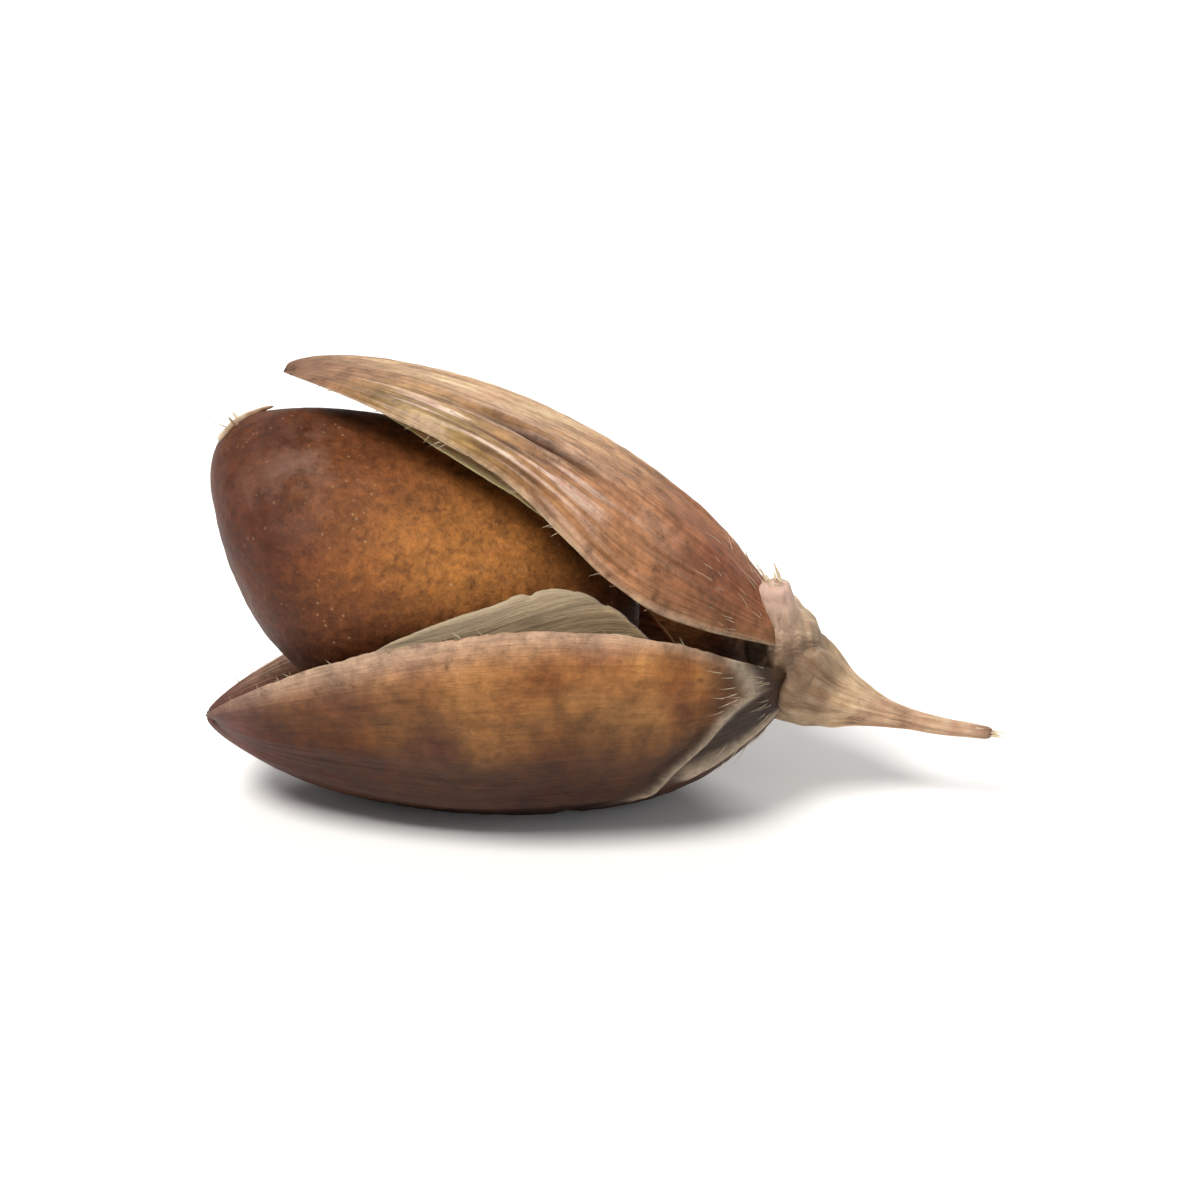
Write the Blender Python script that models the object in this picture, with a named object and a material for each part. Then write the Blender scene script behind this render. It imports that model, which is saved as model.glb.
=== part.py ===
"""One sorghum grain still held in its open husk, on a stub of the seed head's branch.

The husk is two leathery outer scales with two papery inner scales inside them. The
spikelet frame has its origin at the joint where the scales leave the branch. Its +X runs
from the joint to the open mouth of the husk, +Z to the back of the upper scale and +Y
across the width. The frame is turned so that the mouth faces -X in the scene, rolled on
its side, and set down so that the lower scale rests on a small flat spot at z = 0.
"""

import math

import bmesh
import bpy
from mathutils import Matrix, Vector

MM = 0.001

# The grain
GRAIN_LENGTH = 4.75 * MM
GRAIN_WIDTH = 3.3 * MM
GRAIN_THICKNESS = 3.05 * MM
GRAIN_CENTRE = (3.67 * MM, 0.0, 0.81 * MM)
GRAIN_TILT = math.radians(-13.0)  # about Y, so the free end stands high
GRAIN_TAPER = 0.10  # how much fuller the free end is than the base
GRAIN_FULLNESS = 0.84  # under 1 squares the cross-section's run into the ends
GRAIN_BLUNTNESS = 0.12  # how far the free end is flattened
GRAIN_LEAN = 0.50  # how far the free end's upper side stands out past its lower side
EMBRYO_LENGTH = 2.3 * MM
EMBRYO_WIDTH = 1.3 * MM
EMBRYO_DEPTH = 0.13 * MM
HILUM_RADIUS = 0.42 * MM
HILUM_DEPTH = 0.07 * MM
STYLE_FOOT = (1.96 * MM, 0.98 * MM)  # (x, z) from the grain's centre
STYLE_LENGTH = 0.85 * MM
STYLE_RADIUS = 0.06 * MM
STYLE_SPREAD = 0.26 * MM

# The two outer scales, or glumes. Base and tip are (x, z) in the spikelet frame; the keel
# bulges out from the line between them, and the rims rise from it towards the grain. A
# shoulder is how much further the rims stand out near the joint.
LOWER_BASE = (0.15 * MM, -0.43 * MM)
LOWER_TIP = (5.80 * MM, -0.70 * MM)
LOWER_BULGE = 1.06 * MM
LOWER_RISE = 0.92 * MM
LOWER_HALF_WIDTH = 1.76 * MM
LOWER_LEAN = 0.86  # under 1, the fullest place is nearer the joint than the tip
LOWER_SHOULDER = 0.0
UPPER_BASE = (0.24 * MM, 0.28 * MM)
UPPER_TIP = (4.98 * MM, 2.82 * MM)
UPPER_BULGE = 0.80 * MM
UPPER_RISE = -0.32 * MM
UPPER_HALF_WIDTH = 1.62 * MM
UPPER_LEAN = 1.0
UPPER_SHOULDER = 0.44 * MM
SHOULDER_PLACE = 0.25  # share of the length at which the rims stand deepest
SHOULDER_SPREAD = 0.22
FOOT_KEEL = 0.28 * MM
FOOT_RISE = 0.12 * MM
FOOT_HALF_WIDTH = 0.34 * MM
TIP_HALF_WIDTH = 0.20 * MM
TIP_KEEL = 0.07 * MM
TIP_TEETH = 0.05 * MM
GLUME_WALL = 0.18 * MM
GLUME_EDGE = 0.08 * MM
NERVE_HEIGHT = 0.05 * MM
ARC_HALF_ANGLE = math.radians(84.0)

# The papery inner scales that line them and stand past their rims
LOWER_INNER_RISE = 1.04 * MM
LOWER_INNER_SHOULDER = 0.5 * MM
UPPER_INNER_RISE = -0.20 * MM
LOWER_INNER_SPAN = (0.09, 0.90)
UPPER_INNER_SPAN = (0.09, 0.88)
LOWER_INNER_OPENING = 1.0
UPPER_INNER_OPENING = 1.8  # over 1, it reaches its full width nearer the tip than the joint
INNER_END_REACH = 0.2  # how far towards the rims their ends go, of 1
INNER_GAP = 0.05 * MM
INNER_WALL = 0.08 * MM

# The branch stub, from its broken end to the swollen joint that carries the scales
STUB_END = Vector((-2.28 * MM, 0.10 * MM, -0.90 * MM))
STUB_BEND = Vector((-0.95 * MM, 0.0, -0.78 * MM))
STUB_TOP = Vector((-0.02 * MM, 0.0, -0.20 * MM))
STUB_END_RADIUS = 0.065 * MM
JOINT_RADIUS = 0.52 * MM
JOINT_START = 0.34  # share of the stub at which it begins to swell into the joint
SPUR_FOOT = Vector((-0.16 * MM, 0.14 * MM, -0.10 * MM))
SPUR_END = Vector((0.02 * MM, 0.42 * MM, 0.72 * MM))
SPUR_RADIUS = 0.19 * MM

# How the spikelet lies
ROLL = math.radians(18.0)
FLAT_DEPTH = 0.095 * MM


def clear_scene():
    for obj in list(bpy.data.objects):
        bpy.data.objects.remove(obj, do_unlink=True)


def material(name, colour, roughness):
    made = bpy.data.materials.new(name)
    made.use_nodes = True
    shader = made.node_tree.nodes["Principled BSDF"]
    shader.inputs["Base Color"].default_value = (*colour, 1.0)
    shader.inputs["Roughness"].default_value = roughness
    shader.inputs["Metallic"].default_value = 0.0
    return made


def finished(name, bm, finish, parent=None):
    """A smooth-shaded object from this bmesh, with its faces pointing out."""
    bmesh.ops.recalc_face_normals(bm, faces=bm.faces[:])
    mesh = bpy.data.meshes.new(name)
    bm.to_mesh(mesh)
    bm.free()
    mesh.shade_smooth()
    mesh.set_sharp_from_angle(angle=math.radians(50.0))
    if finish:
        mesh.materials.append(finish)
    obj = bpy.data.objects.new(name, mesh)
    bpy.context.scene.collection.objects.link(obj)
    obj.parent = parent
    return obj


def unite(target, other):
    """Joins other to target by a Boolean union; other stays as a hidden helper."""
    other.hide_render = True
    other.display_type = "WIRE"
    join = target.modifiers.new("join " + other.name, "BOOLEAN")
    join.operation = "UNION"
    join.solver = "EXACT"
    join.object = other


def arch(s, shape):
    """0 at s = 0 and s = 1, and 1 half way; a shape under 1 makes the ends blunter."""
    return max(0.0, 1.0 - (2.0 * s - 1.0) ** 2) ** shape


class Boat:
    """The boat shape of a husk scale, round the line from its base to its tip. side is 1 for
    an upper scale, whose keel bulges up, and -1 for a lower one."""

    def __init__(self, side, base, tip, bulge, half_width, lean, rise, shoulder):
        self.base = Vector((base[0], 0.0, base[1]))
        self.tip = Vector((tip[0], 0.0, tip[1]))
        self.along = (self.tip - self.base).normalized()
        self.out = Vector((-self.along.z, 0.0, self.along.x)) * side
        self.bulge = bulge
        self.rise = rise
        self.half_width = half_width
        self.lean = lean
        self.shoulder = shoulder

    def point(self, s, t, depth):
        """The point at share s of the length and share t of the way from keel to rim, this
        far in from the back."""
        depth *= min(1.0, 0.45 + 6.0 * s, 0.45 + 6.0 * (1.0 - s))
        foot = (1.0 - s) ** 2
        leaned = s**self.lean
        keel = FOOT_KEEL * foot + TIP_KEEL * s + self.bulge * arch(leaned, 0.72) - depth
        rim = FOOT_RISE * foot + self.rise * arch(leaned, 0.80)
        rim += self.shoulder * math.exp(-(((s - SHOULDER_PLACE) / SHOULDER_SPREAD) ** 2))
        half = FOOT_HALF_WIDTH * foot + TIP_HALF_WIDTH * s + self.half_width * arch(leaned, 0.62)
        angle = t * ARC_HALF_ANGLE
        across = (half - depth) * math.sin(angle) / math.sin(ARC_HALF_ANGLE)
        drop = (keel + rim) * (1.0 - math.cos(angle)) / (1.0 - math.cos(ARC_HALF_ANGLE))
        teeth = TIP_TEETH * s**12 * math.cos(2.0 * math.pi * t)
        centre = self.base.lerp(self.tip, s) + self.along * teeth
        return centre + self.out * (keel - drop) + Vector((0.0, across, 0.0))


def boat_shell(boat, rows, columns, span, reach, outer, inner):
    """A closed thin shell over this stretch of a boat, between two depths from its back. reach
    gives how far towards the rims it goes at each share of the stretch."""
    bm = bmesh.new()
    bmesh.ops.create_grid(bm, x_segments=rows, y_segments=columns, size=0.5)
    bmesh.ops.triangulate(bm, faces=bm.faces[:])
    copied = bmesh.ops.extrude_face_region(bm, geom=bm.faces[:], use_keep_orig=True)
    inside = {v for v in copied["geom"] if isinstance(v, bmesh.types.BMVert)}
    for vert in bm.verts:
        share = vert.co.x + 0.5
        share = 0.35 * share + 0.65 * (0.5 - 0.5 * math.cos(math.pi * share))
        s = span[0] + (span[1] - span[0]) * share
        t = 2.0 * vert.co.y * reach(share)
        depth = inner(s, t) if vert in inside else outer(s, t)
        vert.co = boat.point(s, t, depth)
    return bm


def glume(name, boat, rows, columns, nerves, finish, parent):
    """An outer scale, with long low ribs on its back and a thin edge."""

    def back(s, t):
        comb = abs(math.cos(0.5 * math.pi * nerves * t)) ** 3
        return -NERVE_HEIGHT * comb * arch(s, 0.5) * (1.0 - 0.5 * abs(t))

    def face(s, t):
        return GLUME_EDGE + (GLUME_WALL - GLUME_EDGE) * (1.0 - abs(t) ** 3)

    def reach(share):
        return 1.0

    bm = boat_shell(boat, rows, columns, (0.0, 1.0), reach, back, face)
    return finished(name, bm, finish, parent)


def inner_scale(name, boat, rows, columns, span, opening, finish, parent):
    """A papery scale that lies against the inside of a glume."""

    def back(s, t):
        return GLUME_WALL + INNER_GAP

    def face(s, t):
        return GLUME_WALL + INNER_GAP + INNER_WALL

    def reach(share):
        return INNER_END_REACH + (1.0 - INNER_END_REACH) * arch(share**opening, 0.33)

    bm = boat_shell(boat, rows, columns, span, reach, back, face)
    return finished(name, bm, finish, parent)


def grain_point(direction):
    """Where a unit direction's point of the grain lies, with the embryo's hollow and the hilum."""
    nx, ny, nz = direction
    ring = math.hypot(ny, nz)
    along = nx - GRAIN_BLUNTNESS * max(0.0, nx) ** 3
    around = ring**GRAIN_FULLNESS * (1.0 + GRAIN_TAPER * nx) / (1.0 + 0.5 * GRAIN_TAPER)
    spoke = around / ring if ring > 1e-6 else 0.0
    point = Vector((
        0.5 * GRAIN_LENGTH * along,
        0.5 * GRAIN_WIDTH * ny * spoke,
        0.5 * GRAIN_THICKNESS * nz * spoke,
    ))
    point.x += GRAIN_LEAN * point.z * max(0.0, nx)
    if nz < 0.0:
        x = (point.x + 0.24 * GRAIN_LENGTH) / (0.5 * EMBRYO_LENGTH)
        y = point.y / (0.5 * EMBRYO_WIDTH)
        away = math.hypot(x, y)
        hollow = EMBRYO_DEPTH * math.exp(-(away**4))
        ridge = 0.35 * EMBRYO_DEPTH * math.exp(-((away - 1.25) ** 2) / 0.05)
        point.z += hollow - ridge
    hilum = Vector((-0.46 * GRAIN_LENGTH, 0.0, 0.13 * GRAIN_THICKNESS))
    away = (point - hilum).length / HILUM_RADIUS
    point.x += HILUM_DEPTH * math.exp(-(away**4))
    return point


def grain(finish, parent):
    bm = bmesh.new()
    turn = Matrix.Rotation(math.radians(90.0), 3, "Y")
    bmesh.ops.create_uvsphere(bm, u_segments=40, v_segments=28, radius=1.0)
    for vert in bm.verts:
        vert.co = grain_point(turn @ vert.co.normalized())
    body = finished("grain", bm, finish, parent)
    body.location = GRAIN_CENTRE
    body.rotation_euler = (0.0, GRAIN_TILT, 0.0)
    for side in (-1.0, 1.0):
        bm = bmesh.new()
        bmesh.ops.create_cone(
            bm,
            cap_ends=True,
            segments=8,
            radius1=STYLE_RADIUS,
            radius2=0.55 * STYLE_RADIUS,
            depth=STYLE_LENGTH,
        )
        outwards = Vector((1.0, 0.3 * side, 0.05))
        foot = Vector((STYLE_FOOT[0], 0.5 * STYLE_SPREAD * side, STYLE_FOOT[1]))
        bmesh.ops.transform(
            bm,
            verts=bm.verts[:],
            matrix=Matrix.Translation(foot) @ outwards.to_track_quat("Z", "X").to_matrix().to_4x4(),
        )
        style = finished("style_stub" + ("_left" if side < 0 else "_right"), bm, finish, parent)
        style.location = body.location
        style.rotation_euler = body.rotation_euler
        unite(body, style)
    return body


def tube(line, radius, sides, rings, ribs, rib_height):
    """A closed ribbed tube: a sphere's rings carried along a line. line(q) gives the centre
    and direction at share q of the way, and radius(q) the radius there, 0 at both ends."""
    bm = bmesh.new()
    bmesh.ops.create_uvsphere(bm, u_segments=sides, v_segments=rings, radius=1.0)
    for vert in bm.verts:
        q = 1.0 - math.acos(max(-1.0, min(1.0, vert.co.z))) / math.pi
        centre, direction = line(q)
        flat = Vector((vert.co.x, vert.co.y, 0.0))
        if flat.length > 1e-6:
            flat.normalize()
            flat *= radius(q) * (1.0 + rib_height * math.cos(ribs * math.atan2(flat.y, flat.x)))
            vert.co = centre + direction.to_track_quat("Z", "Y") @ flat
        else:
            vert.co = centre
    return bm


def round_end(q, share):
    """0 at q = 0 and 1 from q = share on, as a quarter round."""
    away = min(1.0, q / share)
    return math.sqrt(1.0 - (1.0 - away) ** 2)


def stub_line(q):
    """The branch stub's centre line, curving through its bend."""
    first = STUB_END.lerp(STUB_BEND, q)
    second = STUB_BEND.lerp(STUB_TOP, q)
    return first.lerp(second, q), (second - first).normalized()


def stub_radius(q):
    swell = max(0.0, (q - JOINT_START) / (1.0 - JOINT_START))
    swelling = (JOINT_RADIUS - STUB_END_RADIUS) * swell**1.4
    taper = 1.6 * STUB_END_RADIUS * q
    return (STUB_END_RADIUS + taper + swelling) * round_end(q, 0.03) * round_end(1.0 - q, 0.16)


def spur_line(q):
    """The broken spur beside the joint."""
    return SPUR_FOOT.lerp(SPUR_END, q), (SPUR_END - SPUR_FOOT).normalized()


def spur_radius(q):
    return SPUR_RADIUS * (1.3 - 0.45 * q) * round_end(q, 0.1) * round_end(1.0 - q, 0.12)


def branch_stub(finish, parent):
    body = finished("branch_stub", tube(stub_line, stub_radius, 18, 26, 6, 0.07), finish, parent)
    spur = finished("spur", tube(spur_line, spur_radius, 12, 10, 4, 0.06), finish, parent)
    unite(body, spur)
    return body


def world_corners(objects):
    """Lowest and highest corner of these objects as the viewport evaluates them."""
    bpy.context.view_layer.update()
    graph = bpy.context.evaluated_depsgraph_get()
    points = []
    for obj in objects:
        seen = obj.evaluated_get(graph)
        points += [seen.matrix_world @ vert.co for vert in seen.data.vertices]
    low = Vector([min(p[i] for p in points) for i in range(3)])
    high = Vector([max(p[i] for p in points) for i in range(3)])
    return low, high


def floor_cutter():
    """A block whose top face is the surface that the spikelet lies on."""
    bm = bmesh.new()
    bmesh.ops.create_cube(bm, size=1.0)
    size = Vector((20.0 * MM, 20.0 * MM, 4.0 * MM))
    bmesh.ops.scale(bm, vec=size, verts=bm.verts[:])
    bmesh.ops.translate(bm, vec=(0.0, 0.0, -0.5 * size.z), verts=bm.verts[:])
    cutter = finished("floor_cutter", bm, None)
    cutter.hide_render = True
    cutter.display_type = "WIRE"
    return cutter


def main():
    clear_scene()
    grain_skin = material("grain_skin", (0.246, 0.098, 0.034), 0.5)
    husk = material("husk", (0.366, 0.178, 0.082), 0.45)
    papery = material("papery_scale", (0.42, 0.30, 0.17), 0.55)
    straw = material("straw", (0.44, 0.27, 0.13), 0.6)

    axis = bpy.data.objects.new("spikelet_axis", None)
    bpy.context.scene.collection.objects.link(axis)
    axis.rotation_euler = (ROLL, 0.0, math.radians(180.0))

    lower_size = (-1, LOWER_BASE, LOWER_TIP, LOWER_BULGE, LOWER_HALF_WIDTH, LOWER_LEAN)
    upper_size = (1, UPPER_BASE, UPPER_TIP, UPPER_BULGE, UPPER_HALF_WIDTH, UPPER_LEAN)
    lower = Boat(*lower_size, LOWER_RISE, LOWER_SHOULDER)
    lower_lining = Boat(*lower_size, LOWER_INNER_RISE, LOWER_INNER_SHOULDER)
    upper = Boat(*upper_size, UPPER_RISE, UPPER_SHOULDER)
    upper_lining = Boat(*upper_size, UPPER_INNER_RISE, UPPER_SHOULDER)
    lower_inner = (LOWER_INNER_SPAN, LOWER_INNER_OPENING, papery, axis)
    upper_inner = (UPPER_INNER_SPAN, UPPER_INNER_OPENING, papery, axis)

    pieces = [
        grain(grain_skin, axis),
        glume("lower_glume", lower, 26, 28, 7, husk, axis),
        glume("upper_glume", upper, 24, 22, 5, husk, axis),
        inner_scale("lower_inner_scale", lower_lining, 16, 20, *lower_inner),
        inner_scale("upper_inner_scale", upper_lining, 14, 14, *upper_inner),
        branch_stub(straw, axis),
    ]

    low, high = world_corners(pieces)
    centre = (low + high) / 2.0
    axis.location = (-centre.x, -centre.y, -low.z - FLAT_DEPTH)

    lower_glume = pieces[1]
    rest = lower_glume.modifiers.new("flat spot", "BOOLEAN")
    rest.operation = "DIFFERENCE"
    rest.solver = "EXACT"
    rest.object = floor_cutter()


main()
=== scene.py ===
# %% [markdown]
# One sorghum grain, still held in its open husk, on a broken stub of the seed head's branch.
# The whole thing is 8 mm long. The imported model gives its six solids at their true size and
# place. This script makes a fine mesh for each of them from the same formulas, adds what is
# too thin for a solid, such as hairs and torn edges, and gives every surface its finish.

# %% Load the frame
import math
import random

import bmesh
import bpy
from mathutils import Matrix, Vector, noise


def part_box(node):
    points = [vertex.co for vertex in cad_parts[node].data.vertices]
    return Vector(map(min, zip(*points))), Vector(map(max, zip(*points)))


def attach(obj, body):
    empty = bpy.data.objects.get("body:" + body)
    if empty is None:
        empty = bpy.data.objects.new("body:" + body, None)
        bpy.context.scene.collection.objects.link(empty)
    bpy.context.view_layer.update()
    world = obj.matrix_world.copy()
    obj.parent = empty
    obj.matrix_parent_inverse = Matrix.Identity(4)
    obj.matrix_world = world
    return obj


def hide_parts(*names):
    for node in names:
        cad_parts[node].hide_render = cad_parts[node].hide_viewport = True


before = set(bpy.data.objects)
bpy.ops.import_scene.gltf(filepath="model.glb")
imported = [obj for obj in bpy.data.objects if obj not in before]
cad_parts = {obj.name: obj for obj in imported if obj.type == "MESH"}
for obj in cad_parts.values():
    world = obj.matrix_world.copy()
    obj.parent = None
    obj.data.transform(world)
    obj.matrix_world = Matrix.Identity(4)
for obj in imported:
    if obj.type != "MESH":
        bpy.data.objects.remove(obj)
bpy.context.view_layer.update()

MM = 0.001

# %% [markdown]
# Colours are measured as a screen shows them, from 0 to 255, and Blender's shaders take
# linear light. One helper turns the first into the second, so that the numbers below stay
# the ones that the eye compares.

# %% A colour helper


def screen(red, green, blue):
    """A shader's colour from the three numbers that a screen shows."""

    def linear(value):
        value /= 255.0
        return value / 12.92 if value <= 0.04045 else ((value + 0.055) / 1.055) ** 2.4

    return (linear(red), linear(green), linear(blue), 1.0)


print("a screen's middle grey is", round(screen(128, 128, 128)[0], 3), "in linear light")

# %% [markdown]
# The camera comes first, so that every piece can be judged from where it is seen. A long lens
# keeps so small a thing free of stretched corners. It looks down at 25 degrees, square to the
# husk's open side. Blender hides what is nearer than 100 mm by default, which here would be
# all of it, so the near limit is set with the lens.

# %% The camera
VIEW_HEIGHT = math.radians(25.0)
LENS = 150.0
FRAME_WIDTH = 12.4 * MM
AIM = Vector((0.0, 0.0, 2.05 * MM))

camera_data = bpy.data.cameras.new("camera")
camera_data.lens = LENS
camera_data.clip_start = 1.0 * MM
camera_data.clip_end = 2.0
camera = bpy.data.objects.new("camera", camera_data)
bpy.context.scene.collection.objects.link(camera)
bpy.context.scene.camera = camera
distance = FRAME_WIDTH * LENS / camera_data.sensor_width
towards = Vector((0.0, -math.cos(VIEW_HEIGHT), math.sin(VIEW_HEIGHT)))
camera.location = AIM + towards * distance
camera.rotation_euler = (-towards).to_track_quat("-Z", "Y").to_euler()
print("the camera stands", round(distance / MM, 1), "mm away")

# %% [markdown]
# The stage is a plain white floor under soft studio light: one broad lamp high on the left
# front for the main light, a weaker one from the right, one from behind for the rims, and a
# pale sky that fills the shadows. Broad lamps near a small object give soft shadow edges.

# %% The floor, the lamps and the sky
FLOOR_SIDE = 1.0
MAIN_POWER = 0.128
FILL_POWER = 0.018
BACK_POWER = 0.065
SKY_STRENGTH = 0.26


def add_floor():
    bm = bmesh.new()
    bmesh.ops.create_grid(bm, x_segments=1, y_segments=1, size=FLOOR_SIDE / 2.0)
    mesh = bpy.data.meshes.new("floor")
    bm.to_mesh(mesh)
    bm.free()
    floor = bpy.data.objects.new("floor", mesh)
    bpy.context.scene.collection.objects.link(floor)
    finish = bpy.data.materials.new("white_floor")
    finish.use_nodes = True
    shader = finish.node_tree.nodes["Principled BSDF"]
    shader.inputs["Base Color"].default_value = screen(236, 235, 233)
    shader.inputs["Roughness"].default_value = 0.9
    shader.inputs["Specular IOR Level"].default_value = 0.1
    mesh.materials.append(finish)


def add_lamp(name, place, size, power, tint):
    data = bpy.data.lights.new(name, "AREA")
    data.shape = "DISK"
    data.size = size
    data.energy = power
    data.color = tint
    lamp = bpy.data.objects.new(name, data)
    bpy.context.scene.collection.objects.link(lamp)
    lamp.location = Vector(place)
    lamp.rotation_euler = (AIM - lamp.location).to_track_quat("-Z", "Y").to_euler()
    lamp.visible_camera = False


add_floor()
add_lamp("main_lamp", (-40 * MM, -35 * MM, 88 * MM), 46 * MM, MAIN_POWER, (1.0, 0.98, 0.95))
add_lamp("fill_lamp", (75 * MM, -55 * MM, 50 * MM), 70 * MM, FILL_POWER, (0.95, 0.97, 1.0))
add_lamp("back_lamp", (20 * MM, 80 * MM, 70 * MM), 60 * MM, BACK_POWER, (1.0, 1.0, 1.0))

sky = bpy.data.worlds.new("pale_sky")
sky.use_nodes = True
sky.node_tree.nodes["Background"].inputs["Color"].default_value = (0.93, 0.96, 1.0, 1.0)
sky.node_tree.nodes["Background"].inputs["Strength"].default_value = SKY_STRENGTH
bpy.context.scene.world = sky
bpy.context.scene.view_settings.view_transform = "Standard"

# %% [markdown]
# Each husk scale is shaped like a boat. A straight line runs from its base to its tip; the
# keel bulges out from that line and the two rims stand on its other side. Every point has two
# numbers, s along the length from 0 to 1 and t across from rim to rim, -1 to 1, so a flat grid
# can be bent into the shape. The sizes here are those of the solids, in millimetres, in a
# frame whose origin is the joint, with +X to the mouth of the husk and +Z to its upper scale.

# %% The boat shape of a husk scale
ARC_HALF_ANGLE = math.radians(84.0)
SHOULDER_PLACE, SHOULDER_SPREAD = 0.25, 0.22
FOOT_KEEL, FOOT_RISE, FOOT_HALF_WIDTH = 0.28 * MM, 0.12 * MM, 0.34 * MM
TIP_HALF_WIDTH, TIP_KEEL, TIP_TEETH = 0.20 * MM, 0.07 * MM, 0.05 * MM
KEEL_ARCH, RIM_ARCH, WIDTH_ARCH = 0.72, 0.80, 0.62
END_WALL, END_WALL_GROWTH = 0.45, 6.0


def arch(s, shape):
    """0 at s = 0 and s = 1, and 1 half way; a shape under 1 makes the ends blunter."""
    return max(0.0, 1.0 - (2.0 * s - 1.0) ** 2) ** shape


def bell(value, middle, spread):
    """1 at the middle, falling smoothly to 0 on both sides of it."""
    return math.exp(-(((value - middle) / spread) ** 2))


class Boat:
    """The boat shape of a husk scale. side is 1 for an upper scale and -1 for a lower one."""

    def __init__(self, side, base, tip, bulge, half_width, lean, rise, shoulder):
        self.base = Vector((base[0], 0.0, base[1])) * MM
        self.tip = Vector((tip[0], 0.0, tip[1])) * MM
        self.along = (self.tip - self.base).normalized()
        self.out = Vector((-self.along.z, 0.0, self.along.x)) * side
        self.bulge = bulge * MM
        self.half_width = half_width * MM
        self.lean = lean
        self.rise = rise * MM
        self.shoulder = shoulder * MM

    def point(self, s, t, depth):
        """The point at share s of the length and t across, this far in from the back."""
        depth *= min(1.0, END_WALL + END_WALL_GROWTH * min(s, 1.0 - s))
        foot = (1.0 - s) ** 2
        leaned = s**self.lean
        keel = FOOT_KEEL * foot + TIP_KEEL * s + self.bulge * arch(leaned, KEEL_ARCH) - depth
        rim = FOOT_RISE * foot + self.rise * arch(leaned, RIM_ARCH)
        rim += self.shoulder * bell(s, SHOULDER_PLACE, SHOULDER_SPREAD)
        half = FOOT_HALF_WIDTH * foot + TIP_HALF_WIDTH * s
        half += self.half_width * arch(leaned, WIDTH_ARCH)
        angle = t * ARC_HALF_ANGLE
        across = (half - depth) * math.sin(angle) / math.sin(ARC_HALF_ANGLE)
        drop = (keel + rim) * (1.0 - math.cos(angle)) / (1.0 - math.cos(ARC_HALF_ANGLE))
        teeth = TIP_TEETH * s**12 * math.cos(2.0 * math.pi * t)
        centre = self.base.lerp(self.tip, s) + self.along * teeth
        return centre + self.out * (keel - drop) + Vector((0.0, across, 0.0))


LOWER = {
    "side": -1, "base": (0.15, -0.43), "tip": (5.80, -0.70),
    "bulge": 1.06, "half_width": 1.76, "lean": 0.86,
}
UPPER = {
    "side": 1, "base": (0.24, 0.28), "tip": (4.98, 2.82),
    "bulge": 0.80, "half_width": 1.62, "lean": 1.0,
}
lower_boat = Boat(**LOWER, rise=0.92, shoulder=0.0)
upper_boat = Boat(**UPPER, rise=-0.32, shoulder=0.44)
lower_lining = Boat(**LOWER, rise=1.04, shoulder=0.50)
upper_lining = Boat(**UPPER, rise=-0.20, shoulder=0.44)
print("the lower scale is", round((lower_boat.tip - lower_boat.base).length / MM, 2), "mm long")

# %% [markdown]
# The spikelet lies with its mouth to the left, rolled back by 18 degrees onto the belly of the
# lower scale. Its place is read from the frame: the upper scale's shape is turned, and what
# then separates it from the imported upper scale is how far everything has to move.

# %% Where the spikelet lies
ROLL = math.radians(18.0)
SAMPLES = 60
turn = Matrix.Rotation(math.pi, 4, "Z") @ Matrix.Rotation(ROLL, 4, "X")


def box_middle(points):
    low = [min(p[i] for p in points) for i in range(3)]
    high = [max(p[i] for p in points) for i in range(3)]
    return (Vector(low) + Vector(high)) / 2.0


sample = [
    turn @ upper_boat.point(i / SAMPLES, 2.0 * j / SAMPLES - 1.0, 0.0)
    for i in range(SAMPLES + 1)
    for j in range(SAMPLES + 1)
]
shift = sum(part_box("upper_glume"), Vector()) / 2.0 - box_middle(sample)
lie = Matrix.Translation(shift) @ turn
print("the joint stands at", [round(v / MM, 3) for v in shift], "mm")

# %% [markdown]
# All pieces are finished the same way: the mesh is carried to where the spikelet lies, no
# point goes under the floor, faces are smooth, and the piece rides on the one body, takes the
# place of its solid and names its material slot. What a finish needs to know of the shape,
# such as where a fold is, is painted on the mesh as named numbers from 0 to 1.

# %% Finishing a piece
EVEN_ROWS = 0.35


def wander(place, scale=1.0, seed=0.0):
    """A smooth random number from -1 to 1 that changes over about 1 / scale."""
    return noise.noise(Vector(place) * scale + Vector((seed, 3.7 * seed, -seed)))


def finish_piece(name, bm, finish, node=None):
    """Places a bmesh drawn in the spikelet's frame as a piece of the object."""
    bmesh.ops.recalc_face_normals(bm, faces=bm.faces[:])
    bmesh.ops.transform(bm, matrix=lie, verts=bm.verts[:])
    for vert in bm.verts:
        vert.co.z = max(vert.co.z, 0.0)
    mesh = bpy.data.meshes.new(name)
    bm.to_mesh(mesh)
    bm.free()
    mesh.shade_smooth()
    mesh.materials.append(finish)
    piece = bpy.data.objects.new(name, mesh)
    bpy.context.scene.collection.objects.link(piece)
    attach(piece, "root")
    if node:
        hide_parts(node)
    print(name, "has", len(mesh.polygons), "faces")
    return piece


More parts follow.
